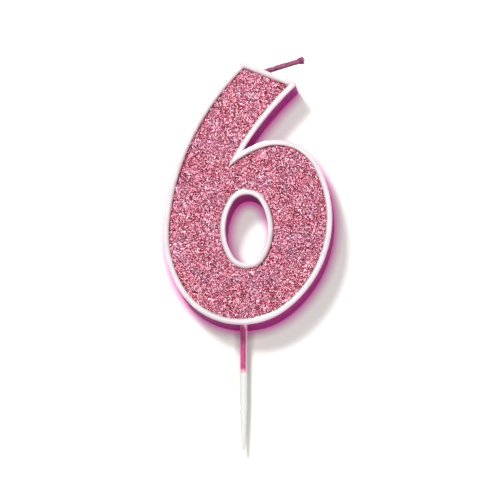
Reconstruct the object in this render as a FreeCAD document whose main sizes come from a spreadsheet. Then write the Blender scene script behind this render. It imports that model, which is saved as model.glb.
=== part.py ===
import FreeCAD, Part
import math
import os
import Sketcher

# A number birthday candle: a flat wax figure six that stands on a thin plastic pick.
# Frame: X to the right of the figure, Y from its front to its back, Z up. The origin is on the
# pick's axis, level with the lowest point of the figure, where the icing of a cake would be.

doc = FreeCAD.newDocument("number_candle")
sizes = doc.addObject("Spreadsheet::Sheet", "Sizes")

SIZES = {
    # outline of the figure, walked from its top left corner down the left side and round the bowl
    "figure_height": 70.0,
    "corner_left": 0.28,
    "corner_heading": -136.4,
    "back_radius": 67.0,
    "back_turn": 42.0,
    "cheek_radius": 29.0,
    "cheek_turn": 36.0,
    "base_radius": 19.2,
    "base_turn": 96.5,
    "flank_radius": 30.2,
    "flank_turn": 81.0,
    "crown_radius": 12.4,
    "crown_turn": 79.5,
    "throat_radius": 28.0,
    # the hollow side of the stem, an arc about a centre out to the right
    "stem_radius": 82.4,
    "stem_middle_across": 70.83,
    "stem_middle_up": 3.5,
    "top_slope": -22.6,
    # the counter, a four-centred oval through the figure
    "counter_across": 1.33,
    "counter_up": 25.4,
    "counter_half_width": 5.5,
    "counter_half_height": 9.1,
    "counter_end_radius": 4.1,
    # depths, front to back
    "wax_depth": 10.0,
    "axis_from_back": 2.5,
    "back_edge": 0.4,
    "rim_width": 1.45,
    "rim_height": 1.0,
    "rim_edge": 0.42,
    "rim_overhang": 0.12,
    "glue_thick": 0.12,
    "glitter_thick": 0.4,
    # cotton wick
    "wick_from_corner": 4.58,
    "wick_radius": 0.58,
    "channel_radius": 0.62,
    "wick_heading": -128.0,
    "wick_straight": 18.0,
    "wick_stem_radius": 40.0,
    "wick_stem_turn": 43.0,
    "wick_bowl_radius": 15.0,
    "wick_bowl_turn": 55.0,
    "wick_lift": 0.92,
    "wick_lean": 16.3,
    "wick_free": 11.15,
    "ply_radius": 0.23,
    "ply_orbit": 0.32,
    "ply_pitch": 4.4,
    "skin_radius": 0.76,
    "skin_bore": 0.6,
    "skin_tip_radius": 0.93,
    "skin_tip_length": 1.3,
    # plastic pick
    "pick_radius": 0.9,
    "grip_radius": 0.7,
    "pick_straight": 17.0,
    "pick_shank_radius": 0.75,
    "pick_shank": 23.8,
    "pick_neck_radius": 0.47,
    "pick_neck": 29.2,
    "pick_point_radius": 0.25,
    "pick_length": 31.8,
    "pick_buried": 10.0,
    "barb_radius": 1.5,
    "barb_height": 1.5,
    "barb_spacing": 3.2,
    "socket_gap": 0.04,
    "sleeve_radius": 0.9,
    "sleeve_length": 10.5,
}

for row, (alias, value) in enumerate(SIZES.items(), start=1):
    sizes.set(f"A{row}", alias)
    sizes.set(f"B{row}", str(value))
    sizes.setAlias(f"B{row}", alias)
doc.recompute()


def size(alias):
    return float(sizes.get(alias))


def length(*aliases):
    """A length added up from cells, a leading minus taking one away: (value, formula)."""
    value = 0.0
    formula = "0"
    for alias in aliases:
        sign = "-" if alias.startswith("-") else "+"
        name = alias.lstrip("-")
        value += size(name) if sign == "+" else -size(name)
        formula += f" {sign} Sizes.{name}"
    return value, formula


def step(x, y, heading, distance):
    """The point reached by walking a distance along a heading in degrees."""
    angle = math.radians(heading)
    return x + distance * math.cos(angle), y + distance * math.sin(angle)


def arc(middle, radius, first, last):
    """An arc of a circle in the sketch plane, anticlockwise from one angle to another, in radians."""
    circle = Part.Circle(FreeCAD.Vector(middle[0], middle[1], 0), FreeCAD.Vector(0, 0, 1), radius)
    return Part.ArcOfCircle(circle, first, last)


def line(start, end):
    return Part.LineSegment(FreeCAD.Vector(start[0], start[1], 0), FreeCAD.Vector(end[0], end[1], 0))


def left_arcs(point, heading, turns):
    """Tangent arcs that all turn left, from (radius value and formula, turn) pairs.
    Gives the edges with their formulas, the last point and the last heading."""
    edges = []
    for (radius, formula), turn in turns:
        middle = step(*point, heading + 90, radius)
        first = math.radians(heading - 90)
        edges.append((arc(middle, radius, first, first + math.radians(turn)), formula, True))
        heading += turn
        point = step(*middle, heading - 90, radius)
    return edges, point, heading


def meeting(point, heading, middle, radius):
    """Where a line walked from a point first meets a circle ahead of it."""
    ahead = FreeCAD.Vector(*step(0, 0, heading, 1), 0)
    gap = FreeCAD.Vector(middle[0] - point[0], middle[1] - point[1], 0)
    nearest = gap.dot(ahead)
    half_chord = math.sqrt(radius**2 - gap.Length**2 + nearest**2)
    first = nearest - half_chord
    return step(*point, heading, first if first > 0 else nearest + half_chord)


def crossing(middle, radius, other, other_radius):
    """Where two circles cross, on the left of the way from the first middle to the other."""
    apart = math.hypot(other[0] - middle[0], other[1] - middle[1])
    along = (radius**2 - other_radius**2 + apart**2) / (2 * apart)
    way = math.degrees(math.atan2(other[1] - middle[1], other[0] - middle[0]))
    return step(*step(*middle, way, along), way + 90, math.sqrt(radius**2 - along**2))


def figure_outline(*inset):
    """The six's outer outline, moved into the wax by the inset's cells.
    It walks down the left side, round the bowl, into the notch and back up the stem."""
    moved, _ = length(*inset)
    taken = [f"-{alias}" for alias in inset]
    heading = size("corner_heading")
    corner = (size("corner_left"), size("figure_height"))
    turns = []
    for stretch in ("back", "cheek", "base", "flank", "crown"):
        turns.append((length(f"{stretch}_radius", *taken), size(f"{stretch}_turn")))
    edges, throat, throat_heading = left_arcs(step(*corner, heading + 90, moved), heading, turns)

    # The throat curls on into the notch, where it meets the stem's hollow side.
    stem_middle = (size("stem_middle_across"), size("stem_middle_up"))
    stem_radius, stem_formula = length("stem_radius", *inset)
    throat_radius, throat_formula = length("throat_radius", *taken)
    throat_middle = step(*throat, throat_heading + 90, throat_radius)
    notch = crossing(throat_middle, throat_radius, stem_middle, stem_radius)
    first = math.radians(throat_heading - 90)
    last = math.atan2(notch[1] - throat_middle[1], notch[0] - throat_middle[0])
    throat_turn = (last - first) % (2 * math.pi)
    throat_arc = arc(throat_middle, throat_radius, first, first + throat_turn)
    slope = size("top_slope")
    tip = meeting(step(*corner, slope - 90, moved), slope, stem_middle, stem_radius)
    angles = [math.atan2(y - stem_middle[1], x - stem_middle[0]) for x, y in (tip, notch)]
    stem = arc(stem_middle, stem_radius, *angles)

    # The back arc starts again where its inset copy meets the inset top edge.
    back = edges[0][0]
    corner = meeting(tip, slope + 180, (back.Center.x, back.Center.y), back.Radius)
    first = math.atan2(corner[1] - back.Center.y, corner[0] - back.Center.x)
    edges[0] = (arc(back.Center, back.Radius, first, back.LastParameter), edges[0][1], True)
    edges.append((throat_arc, throat_formula, False))
    edges.append((stem, stem_formula, False))
    edges.append((line(tip, corner), None, False))
    return edges


def counter_outline(*outset):
    """The oval counter, drawn with four centres and grown by the outset's cells."""
    grown, _ = length(*outset)
    wide, tall = size("counter_half_width"), size("counter_half_height")
    end = size("counter_end_radius")
    side = (wide**2 + (tall - end) ** 2 - end**2) / (2 * (wide - end))
    half_side_turn = math.degrees(math.asin((tall - end) / (side - end)))
    end_turn = 180 - 2 * half_side_turn
    end_length = length("counter_end_radius", *outset)
    side_length = (side + grown, None)
    start = (size("counter_across") + wide + grown, size("counter_up"))
    start = step(start[0] - side - grown, start[1], -half_side_turn, side + grown)
    turns = [(side_length, 2 * half_side_turn), (end_length, end_turn)] * 2
    edges, _, _ = left_arcs(start, 90 - half_side_turn, turns)
    return edges


def touching(edge, after):
    """Which end of one edge meets which end of the next: 1 for a start and 2 for an end."""
    ends = ((edge.StartPoint, 1), (edge.EndPoint, 2))
    next_ends = ((after.StartPoint, 1), (after.EndPoint, 2))
    pairs = [(p.distanceToPoint(q), i, j) for p, i in ends for q, j in next_ends]
    _, end, next_end = min(pairs)
    return end, next_end


def draw(sketch, edges, closed=True):
    """Adds a chain of edges, joined or tangent where they meet, with its radii bound to the sheet."""
    base = sketch.GeometryCount
    sketch.addGeometry([edge for edge, _, _ in edges])
    for i, (edge, formula, smooth) in enumerate(edges):
        if formula:
            radius = sketch.addConstraint(Sketcher.Constraint("Radius", base + i, edge.Radius))
            sketch.setExpression(f"Constraints[{radius}]", formula)
        if not closed and i == len(edges) - 1:
            continue
        after = (i + 1) % len(edges)
        end, next_end = touching(edge, edges[after][0])
        kind = "Tangent" if smooth else "Coincident"
        joint = Sketcher.Constraint(kind, base + i, end, base + after, next_end)
        sketch.addConstraint(joint)


def draw_polygon(sketch, corners):
    """Adds a closed polygon whose corners' coordinates are bound to the sheet."""
    base = sketch.GeometryCount
    points = [(across[0], up[0]) for across, up in corners]
    ends = points[1:] + points[:1]
    sketch.addGeometry([line(start, end) for start, end in zip(points, ends)])
    for i, (across, up) in enumerate(corners):
        after = (i + 1) % len(corners)
        sketch.addConstraint(Sketcher.Constraint("Coincident", base + i, 2, base + after, 1))
        for kind, (value, formula) in (("DistanceX", across), ("DistanceY", up)):
            place = sketch.addConstraint(Sketcher.Constraint(kind, -1, 1, base + i, 1, value))
            sketch.setExpression(f"Constraints[{place}]", formula)


def new_body(name):
    body = doc.addObject("PartDesign::Body", name)
    body.Label = name
    return body


def new_sketch(body, name, role="XZ_Plane", forward="0"):
    """A sketch on one of the body's origin planes, brought forward by a formula along its normal."""
    sketch = body.newObject("Sketcher::SketchObject", name)
    plane = next(p for p in body.Origin.OriginFeatures if p.Role == role)
    sketch.AttachmentSupport = [(plane, "")]
    sketch.MapMode = "FlatFace"
    sketch.setExpression("AttachmentOffset.Base.z", forward)
    return sketch


def pad(body, sketch, formula):
    feature = body.newObject("PartDesign::Pad", f"{body.Label}_pad")
    feature.Profile = sketch
    feature.setExpression("Length", formula)
    sketch.Visibility = False
    doc.recompute()
    return feature


def revolve(body, sketch, kind="PartDesign::Revolution"):
    """A full turn of a half profile about the sketch's upright axis."""
    feature = body.newObject(kind, f"{sketch.Name}_turned")
    feature.Profile = sketch
    feature.ReferenceAxis = (sketch, ["V_Axis"])
    feature.Angle = 360
    doc.recompute()
    return feature


def dress_edges(body, feature, kind, formula, chosen):
    """Rounds (Fillet) or bevels (Chamfer) the feature's edges that the test picks."""
    edges = [f"Edge{i + 1}" for i, edge in enumerate(feature.Shape.Edges) if chosen(edge)]
    dressed = body.newObject(f"PartDesign::{kind}", f"{body.Label}_{kind.lower()}")
    dressed.Base = (feature, edges)
    dressed.setExpression("Radius" if kind == "Fillet" else "Size", formula)
    doc.recompute()
    return dressed


def lies_at(depth):
    """A test for edges that lie wholly at one depth."""
    return lambda edge: max(abs(edge.BoundBox.YMin - depth), abs(edge.BoundBox.YMax - depth)) < 0.001


FACE = "Sizes.wax_depth - Sizes.axis_from_back"


def layer(name, outlines, start, thick):
    """A flat layer between outlines, from a height in front of the plane of the wick and pick."""
    body = new_body(name)
    sketch = new_sketch(body, f"{name}_outline", forward=start)
    for edges in outlines:
        draw(sketch, edges)
    return body, pad(body, sketch, thick)


def pick_profile(*gap):
    """The buried head of the pick with its two barbs, as a half profile grown by the gap's cells."""
    barbed = length("barb_radius", *gap)
    plain = length("grip_radius", *gap)
    barbs = []
    for lower in ("barb_spacing",), ("barb_spacing", "barb_spacing"):
        barbs.append((plain, length(*lower)))
        barbs.append((barbed, length(*lower)))
        barbs.append((plain, length(*lower, "barb_height")))
    return barbs


def wick_route(start):
    """The line down the middle of the stroke that the buried wick follows, from its upper end."""
    heading = size("wick_heading")
    bend = step(*start, heading, size("wick_straight") + start_lift(start))
    turns = [(length(f"wick_{place}_radius"), size(f"wick_{place}_turn")) for place in ("stem", "bowl")]
    arcs, _, _ = left_arcs(bend, heading, turns)
    return [(line(start, bend), None, True)] + arcs


def start_lift(start):
    """How far above the wick's way out of the wax a point on its line lies."""
    return math.hypot(start[0] - WICK_EXIT[0], start[1] - WICK_EXIT[1])


def pipe(body, kind, start, radius_alias):
    """A round pipe along the buried wick's route."""
    route = new_sketch(body, f"{body.Label}_route")
    draw(route, wick_route(start), closed=False)
    section = body.newObject("Sketcher::SketchObject", f"{body.Label}_section")
    section.AttachmentSupport = [(route, "Edge1")]
    section.MapMode = "NormalToEdge"
    doc.recompute()
    circle = Part.Circle(FreeCAD.Vector(0, 0, 0), FreeCAD.Vector(0, 0, 1), size(radius_alias))
    section.addGeometry(circle)
    section.addConstraint(Sketcher.Constraint("Coincident", 0, 3, -1, 1))
    radius = section.addConstraint(Sketcher.Constraint("Radius", 0, size(radius_alias)))
    section.setExpression(f"Constraints[{radius}]", f"Sizes.{radius_alias}")
    feature = body.newObject(kind, f"{body.Label}_pipe")
    feature.Profile = section
    feature.Spine = (route, [f"Edge{i + 1}" for i in range(3)])
    doc.recompute()
    return feature


# The wick leaves the wax part way along the sloping top, and its free end turns about a point
# just above the wax, which keeps the skin's round root clear of the figure all the way round.
TOP_CORNER = (size("corner_left"), size("figure_height"))
WICK_EXIT = step(*step(*TOP_CORNER, size("top_slope"), size("wick_from_corner")),
                 size("top_slope") - 90, size("rim_overhang"))
OUTWARD = size("wick_heading") + 180
LIFT = size("wick_lift") / math.cos(math.radians(OUTWARD - size("top_slope") - 90))
WICK_ROOT = step(*WICK_EXIT, OUTWARD, LIFT)

# Cast wax figure, with its channel for the wick and its socket for the pick.
wax = new_body("wax_figure")
wax_outline = new_sketch(wax, "wax_outline", forward="-Sizes.axis_from_back")
draw(wax_outline, figure_outline("rim_overhang"))
draw(wax_outline, counter_outline("rim_overhang"))
wax_block = pad(wax, wax_outline, "Sizes.wax_depth")
wax_back = dress_edges(wax, wax_block, "Chamfer", "Sizes.back_edge", lies_at(size("axis_from_back")))
before = wax_back.Shape.Volume
pipe(wax, "PartDesign::SubtractivePipe", step(*WICK_EXIT, OUTWARD, size("wick_lift")), "channel_radius")
socket = new_sketch(wax, "pick_socket")
above = length("pick_buried", "socket_gap")
axis = length()
socket_radius = length("grip_radius", "socket_gap")
draw_polygon(
    socket,
    [(axis, length("-barb_spacing")), (socket_radius, length("-barb_spacing"))]
    + pick_profile("socket_gap")
    + [(socket_radius, above), (axis, above)],
)
revolve(wax, socket, "PartDesign::Groove")
print("wax taken out for wick and pick, mm3:", round(before - wax.Shape.Volume, 1))

# White raised rims: one along the figure's edge and one round its counter.
for name, outlines in (
    ("outer_rim", (figure_outline(), figure_outline("rim_width"))),
    ("counter_rim", (counter_outline("rim_width"), counter_outline())),
):
    rim, rim_pad = layer(name, outlines, FACE, "Sizes.rim_height")
    crest = size("axis_from_back") - size("wax_depth") - size("rim_height")
    dress_edges(rim, rim_pad, "Chamfer", "Sizes.rim_edge", lies_at(crest))

# Glue film on the face between the rims, and the glitter bedded in it.
field = (figure_outline("rim_width"), counter_outline("rim_width"))
layer("glue_film", field, FACE, "Sizes.glue_thick")
layer("glitter_layer", field, f"{FACE} + Sizes.glue_thick", "Sizes.glitter_thick")

# Cotton wick inside the wax.
buried = new_body("buried_wick")
pipe(buried, "PartDesign::AdditivePipe", step(*WICK_EXIT, OUTWARD, size("socket_gap")), "wick_radius")

# Free end of the wick: three twisted plies in a skin of coloured wax, drawn upright and then
# laid over to the side that it leans to.
lean = FreeCAD.Placement(
    FreeCAD.Vector(WICK_ROOT[0], 0, WICK_ROOT[1]),
    FreeCAD.Rotation(FreeCAD.Vector(0, 1, 0), 90 - size("wick_lean")),
)
for number in (1, 2, 3):
    ply = new_body(f"wick_ply_{number}")
    strand = new_sketch(ply, f"ply_{number}_section", "XY_Plane", "Sizes.skin_radius")
    middle = FreeCAD.Vector(size("ply_orbit"), 0, 0)
    strand.addGeometry(Part.Circle(middle, FreeCAD.Vector(0, 0, 1), size("ply_radius")))
    strand.addConstraint(Sketcher.Constraint("PointOnObject", 0, 3, -1))
    orbit = Sketcher.Constraint("DistanceX", -1, 1, 0, 3, size("ply_orbit"))
    strand.setExpression(f"Constraints[{strand.addConstraint(orbit)}]", "Sizes.ply_orbit")
    radius = Sketcher.Constraint("Radius", 0, size("ply_radius"))
    strand.setExpression(f"Constraints[{strand.addConstraint(radius)}]", "Sizes.ply_radius")
    twist = ply.newObject("PartDesign::AdditiveHelix", f"ply_{number}_twist")
    twist.Profile = strand
    twist.ReferenceAxis = (strand, ["N_Axis"])
    twist.Mode = "pitch-height-angle"
    twist.setExpression("Pitch", "Sizes.ply_pitch")
    twist.setExpression("Height", "Sizes.wick_free - Sizes.skin_radius - Sizes.ply_radius")
    doc.recompute()
    turn = FreeCAD.Placement(FreeCAD.Vector(), FreeCAD.Rotation(FreeCAD.Vector(0, 0, 1), number * 120))
    ply.Placement = lean.multiply(turn)

skin = new_body("wick_skin")
skin_profile = new_sketch(skin, "skin_profile")
root = length("-skin_radius")
draw_polygon(
    skin_profile,
    [
        (axis, root),
        (length("skin_radius"), root),
        (length("skin_radius"), length("wick_free", "-skin_tip_length")),
        (length("skin_tip_radius"), length("wick_free")),
        (length("skin_bore"), length("wick_free")),
        (length("skin_bore"), length("skin_bore")),
        (axis, length("skin_bore")),
    ],
)
skin_solid = revolve(skin, skin_profile)
skin_root = -size("skin_radius")
dress_edges(
    skin,
    skin_solid,
    "Fillet",
    "Sizes.skin_radius - Sizes.socket_gap",
    lambda edge: abs(edge.BoundBox.ZMin - skin_root) + abs(edge.BoundBox.ZMax - skin_root) < 0.001,
)
skin.Placement = lean

# Moulded plastic pick, barbed where the wax holds it.
pick = new_body("pick")
pick_half = new_sketch(pick, "pick_half")
draw_polygon(
    pick_half,
    [
        (axis, length("-pick_length")),
        (length("pick_point_radius"), length("-pick_length")),
        (length("pick_neck_radius"), length("-pick_neck")),
        (length("pick_shank_radius"), length("-pick_shank")),
        (length("pick_radius"), length("-pick_straight")),
        (length("pick_radius"), length("-sleeve_length")),
        (length("grip_radius"), length("-sleeve_length")),
    ]
    + pick_profile()
    + [(length("grip_radius"), length("pick_buried")), (axis, length("pick_buried"))],
)
revolve(pick, pick_half)

# Skin of bright wax left on the top of the pick.
sleeve = new_body("pick_sleeve")
sleeve_half = new_sketch(sleeve, "sleeve_half")
bore = length("grip_radius")
outside = length("sleeve_radius")
draw_polygon(
    sleeve_half,
    [
        (bore, length("-sleeve_length")),
        (outside, length("-sleeve_length")),
        (outside, length("rim_overhang")),
        (bore, length("rim_overhang")),
    ],
)
revolve(sleeve, sleeve_half)

doc.recompute()
for item in doc.Objects:
    if "Invalid" in item.State or "Error" in item.State:
        raise SystemExit(f"{item.Name} failed: {item.State}")

pieces = [item for item in doc.Objects if item.TypeId == "PartDesign::Body"]
for piece in pieces:
    if piece.Shape.isNull() or not piece.Shape.isValid() or len(piece.Shape.Solids) != 1:
        raise SystemExit(f"{piece.Label} has no single valid solid")

os.makedirs("parts", exist_ok=True)
for piece in pieces:
    piece.Shape.exportStep(os.path.join("parts", f"{piece.Label}.step"))
    box = piece.Shape.optimalBoundingBox(False, False)
    print(f"{piece.Label:14} {piece.Shape.Volume:9.2f} mm3  x {box.XMin:7.2f} {box.XMax:7.2f}"
          f"  y {box.YMin:6.2f} {box.YMax:6.2f}  z {box.ZMin:7.2f} {box.ZMax:7.2f}")
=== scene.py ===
import math

import bmesh
import bpy
import numpy as np
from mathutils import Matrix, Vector, geometry, kdtree, noise


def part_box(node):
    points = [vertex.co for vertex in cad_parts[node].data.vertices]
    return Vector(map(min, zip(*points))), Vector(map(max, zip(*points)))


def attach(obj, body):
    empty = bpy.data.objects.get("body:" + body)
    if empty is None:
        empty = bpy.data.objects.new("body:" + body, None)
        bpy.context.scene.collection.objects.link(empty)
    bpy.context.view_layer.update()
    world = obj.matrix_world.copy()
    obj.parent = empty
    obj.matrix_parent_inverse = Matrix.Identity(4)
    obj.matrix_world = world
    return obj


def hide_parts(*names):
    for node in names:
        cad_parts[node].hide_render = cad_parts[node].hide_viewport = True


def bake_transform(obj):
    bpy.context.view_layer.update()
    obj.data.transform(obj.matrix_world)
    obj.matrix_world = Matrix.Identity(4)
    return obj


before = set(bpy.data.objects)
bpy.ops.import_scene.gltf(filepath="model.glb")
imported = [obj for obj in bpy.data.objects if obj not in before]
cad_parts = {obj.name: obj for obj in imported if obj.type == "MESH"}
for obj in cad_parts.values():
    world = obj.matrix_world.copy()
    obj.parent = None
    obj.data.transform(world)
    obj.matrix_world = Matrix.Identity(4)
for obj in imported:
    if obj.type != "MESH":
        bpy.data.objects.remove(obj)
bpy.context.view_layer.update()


# ---------------------------------------------------------------------------------------------
# Wax figure: a six cast in magenta paraffin wax, coloured through. It is poured face down, so its
# back is the open side of the mould: softly sunk, faintly rippled, with a rounded edge.

MM = 0.001
WAX_RED = (0.22, 0.004, 0.115)
WAX_BRIGHT = (0.28, 0.007, 0.155)
# Colour of the painted glow that the walls give off near the back.
PAINTED_GLOW = (0.32, 0.02, 0.20)
BACK_ROUND = 0.4 * MM
BACK_SINK = 0.16 * MM
BACK_GRID = 0.75 * MM
BACK_SWIRL = 0.06 * MM
SINK_REACH = 3.5 * MM
FRONT_GRID = 3 * MM
WALL_ROWS = 12
WALL_SWELL = 0.035 * MM
SWELL_SIZE = 3.2 * MM
SHARP_BEND = 0.35


def edge_loops(node, depth):
    """The closed outlines of the flat face that a CAD node has at one depth, longest first."""
    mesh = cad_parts[node].data
    spots = {}
    index = [spots.setdefault(tuple(round(c, 7) for c in v.co), len(spots)) for v in mesh.vertices]
    places = list(spots)
    ways = set()
    for face in mesh.polygons:
        corners = [index[v] for v in face.vertices]
        if all(abs(places[i][1] - depth) < 0.001 * MM for i in corners):
            ways.update(zip(corners, corners[1:] + corners[:1]))
    onward = {a: b for a, b in ways if (b, a) not in ways}
    loops = []
    while onward:
        start, here = next(iter(onward.items()))
        del onward[start]
        loop = [start]
        while here != start:
            loop.append(here)
            here = onward.pop(here)
        loops.append(np.array([(places[i][0], places[i][2]) for i in loop]))
    return sorted(loops, key=lambda loop: -np.ptp(loop[:, 1]))


def smooth_run(points, count):
    """A run of outline points, passed through by a cubic and spaced evenly."""
    steps = np.hypot(*np.diff(points, axis=0).T)
    along = np.concatenate([[0], np.cumsum(steps)])
    slopes = np.gradient(points, along, axis=0, edge_order=min(2, len(steps)))
    wanted = np.linspace(0, along[-1], count + 1)[:-1]
    i = np.clip(np.searchsorted(along, wanted, side="right") - 1, 0, len(steps) - 1)
    h = steps[i][:, None]
    t = ((wanted - along[i]) / steps[i])[:, None]
    return (
        (2 * t**3 - 3 * t**2 + 1) * points[i]
        + (t**3 - 2 * t**2 + t) * h * slopes[i]
        + (3 * t**2 - 2 * t**3) * points[i + 1]
        + (t**3 - t**2) * h * slopes[i + 1]
    )


def outline(loop, counts):
    """An outline resampled run by run between its sharp corners, which it starts at the topmost of.
    An outline with no corners starts at its rightmost point and has one run."""
    before, after = loop - np.roll(loop, 1, axis=0), np.roll(loop, -1, axis=0) - loop
    turn = before[:, 0] * after[:, 1] - before[:, 1] * after[:, 0]
    bend = np.abs(turn) / (np.hypot(*before.T) * np.hypot(*after.T))
    corners = np.flatnonzero(bend > SHARP_BEND)
    if np.sum(turn) < 0:
        loop = loop[::-1]
        corners = len(loop) - 1 - corners[::-1]
    first = max(corners, key=lambda i: loop[i, 1]) if len(corners) else int(np.argmax(loop[:, 0]))
    loop = np.roll(loop, -first, axis=0)
    corners = sorted((corners - first) % len(loop)) or [0]
    loop = np.vstack([loop, loop[:1]])
    ends = list(corners[1:]) + [len(loop) - 1]
    runs = [smooth_run(loop[a : b + 1], n) for a, b, n in zip(corners, ends, counts)]
    return np.vstack(runs)


def outward(line):
    """Unit normals of an anticlockwise outline, pointing out of it."""
    along = np.roll(line, -1, axis=0) - np.roll(line, 1, axis=0)
    away = np.column_stack([along[:, 1], -along[:, 0]])
    return away / np.hypot(*away.T)[:, None]


def between(outer, inner, share):
    """The outline part of the way from one outline to another of as many points."""
    return outer + (inner - outer) * share


def ring(line, depth):
    """Outline points stood up in the figure's plane at a depth."""
    return np.column_stack([line[:, 0], np.broadcast_to(depth, len(line)), line[:, 1]])


def rings_mesh(name, rings, closed=False):
    """A skin of quads over rings of as many points each, the last joined to the first if closed."""
    count, size = len(rings), len(rings[0])
    faces = []
    for row in range(count if closed else count - 1):
        low, high = row * size, (row + 1) % count * size
        for i in range(size):
            j = (i + 1) % size
            faces.append((low + i, low + j, high + j, high + i))
    mesh = bpy.data.meshes.new(name)
    mesh.from_pydata(np.vstack(rings).tolist(), [], faces)
    return mesh


def finished(name, mesh, material, body="candle", smooth=True):
    """A piece in the scene with its material and the body it rides on."""
    mesh.validate()
    if smooth:
        mesh.shade_smooth()
    piece = bpy.data.objects.new(name, mesh)
    bpy.context.scene.collection.objects.link(piece)
    piece.data.materials.append(material)
    if body:
        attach(piece, body)
    return piece


def inside(points, loop):
    """Which points lie inside a closed outline."""
    x, z = points[:, 0][:, None], points[:, 1][:, None]
    ax, az = loop[:, 0], loop[:, 1]
    bx, bz = np.roll(ax, -1), np.roll(az, -1)
    crosses = (az > z) != (bz > z)
    reach = ax + (z - az) * (bx - ax) / np.where(bz == az, 1, bz - az)
    return (crosses & (x < reach)).sum(axis=1) % 2 == 1


def edge_distance(points, loops):
    """How far each point lies from the nearest outline point."""
    marks = kdtree.KDTree(sum(len(loop) for loop in loops))
    for number, (x, z) in enumerate(np.vstack(loops)):
        marks.insert((x, 0, z), number)
    marks.balance()
    return np.array([marks.find((x, 0, z))[2] for x, z in points])


def field_mesh(name, loops, spacing, height):
    """A sheet between an outer and an inner outline, its depth given by a function of place and
    distance from the edge. It faces the front."""
    outer, inner = loops
    low, high = outer.min(axis=0), outer.max(axis=0)
    rows = np.arange(low[1], high[1], spacing * math.sqrt(0.75))
    grid = [
        (x, z)
        for k, z in enumerate(rows)
        for x in np.arange(low[0] + (k % 2) * spacing / 2, high[0], spacing)
    ]
    grid = np.array(grid)
    grid = grid[inside(grid, outer) & ~inside(grid, inner)]
    grid = grid[edge_distance(grid, loops) > spacing * 0.45]
    points = np.vstack([outer, inner, grid])
    ways = [(i, (i + 1) % len(outer)) for i in range(len(outer))]
    ways += [(len(outer) + i, len(outer) + (i + 1) % len(inner)) for i in range(len(inner))]
    made = geometry.delaunay_2d_cdt([Vector(p) for p in points], ways, [], 0, 1e-9)
    places = np.array([tuple(p) for p in made[0]])
    middles = np.array([places[list(face)].mean(axis=0) for face in made[2]])
    kept = inside(middles, outer) & ~inside(middles, inner)
    faces = [tuple(face) for face, keep in zip(made[2], kept) if keep]
    depth = height(places, edge_distance(places, loops))
    mesh = bpy.data.meshes.new(name)
    mesh.from_pydata(np.column_stack([places[:, 0], depth, places[:, 1]]).tolist(), [], faces)
    return mesh


def ripple(x, y, z, size):
    """Smooth noise from -1 to 1, with features of about a given size."""
    return noise.noise(Vector((x, y, z)) / size)


def new_material(name):
    """A material with a bare Principled shader: (material, its nodes, its links, the shader)."""
    material = bpy.data.materials.new(name)
    material.use_nodes = True
    nodes, links = material.node_tree.nodes, material.node_tree.links
    return material, nodes, links, nodes["Principled BSDF"]


def new_group(name, inputs, outputs):
    """A shader node group with its sockets: (group, nodes, links, input node, output node)."""
    group = bpy.data.node_groups.new(name, "ShaderNodeTree")
    for kind, sockets in (("INPUT", inputs), ("OUTPUT", outputs)):
        for label, socket, start in sockets:
            made = group.interface.new_socket(name=label, in_out=kind, socket_type=socket)
            if start is not None:
                made.default_value = start
    enter = group.nodes.new("NodeGroupInput")
    leave = group.nodes.new("NodeGroupOutput")
    return group, group.nodes, group.links, enter, leave


def use_group(nodes, links, group, shader, **values):
    """Places a group in a material with its own values and wires what it puts out."""
    node = nodes.new("ShaderNodeGroup")
    node.node_tree = group
    for label, value in values.items():
        node.inputs[label.replace("_", " ")].default_value = value
    for socket in node.outputs:
        if socket.name in shader.inputs:
            links.new(socket, shader.inputs[socket.name])
    return node


COLOUR, VALUE, VECTOR = "NodeSocketColor", "NodeSocketFloat", "NodeSocketVector"

# Wax finish: clouds of deeper and lighter colour, a satin sheen that varies, soft hand-poured
# unevenness and the fine grain of cooled paraffin.
wax_finish, nodes, links, enter, leave = new_group(
    "Wax finish",
    [
        ("Deep", COLOUR, (0.5, 0.5, 0.5, 1)),
        ("Light", COLOUR, (0.8, 0.8, 0.8, 1)),
        ("Cloud scale", VALUE, 260.0),
        ("Grain scale", VALUE, 3500.0),
        ("Smoothest", VALUE, 0.32),
        ("Roughest", VALUE, 0.5),
        ("Relief", VALUE, 0.00006),
    ],
    [("Base Color", COLOUR, None), ("Roughness", VALUE, None), ("Normal", VECTOR, None)],
)
place = nodes.new("ShaderNodeTexCoord")
clouds = nodes.new("ShaderNodeTexNoise")
clouds.inputs["Detail"].default_value = 4
clouds.inputs["Roughness"].default_value = 0.55
grain = nodes.new("ShaderNodeTexNoise")
grain.inputs["Detail"].default_value = 3
for texture, scale in ((clouds, "Cloud scale"), (grain, "Grain scale")):
    links.new(place.outputs["Object"], texture.inputs["Vector"])
    links.new(enter.outputs[scale], texture.inputs["Scale"])
spread = nodes.new("ShaderNodeMapRange")
spread.inputs["From Min"].default_value = 0.3
spread.inputs["From Max"].default_value = 0.7
links.new(clouds.outputs["Fac"], spread.inputs["Value"])
tint = nodes.new("ShaderNodeMix")
tint.data_type = "RGBA"
links.new(spread.outputs["Result"], tint.inputs["Factor"])
links.new(enter.outputs["Deep"], tint.inputs["A"])
links.new(enter.outputs["Light"], tint.inputs["B"])
links.new(tint.outputs["Result"], leave.inputs["Base Color"])
sheen = nodes.new("ShaderNodeMapRange")
links.new(grain.outputs["Fac"], sheen.inputs["Value"])
sheen.inputs["From Min"].default_value = 0.3
sheen.inputs["From Max"].default_value = 0.7
links.new(enter.outputs["Smoothest"], sheen.inputs["To Min"])
links.new(enter.outputs["Roughest"], sheen.inputs["To Max"])
links.new(sheen.outputs["Result"], leave.inputs["Roughness"])
swell = nodes.new("ShaderNodeMath")
swell.operation = "MULTIPLY_ADD"
swell.inputs[1].default_value = 0.25
links.new(grain.outputs["Fac"], swell.inputs[0])
links.new(clouds.outputs["Fac"], swell.inputs[2])
relief = nodes.new("ShaderNodeBump")
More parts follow.
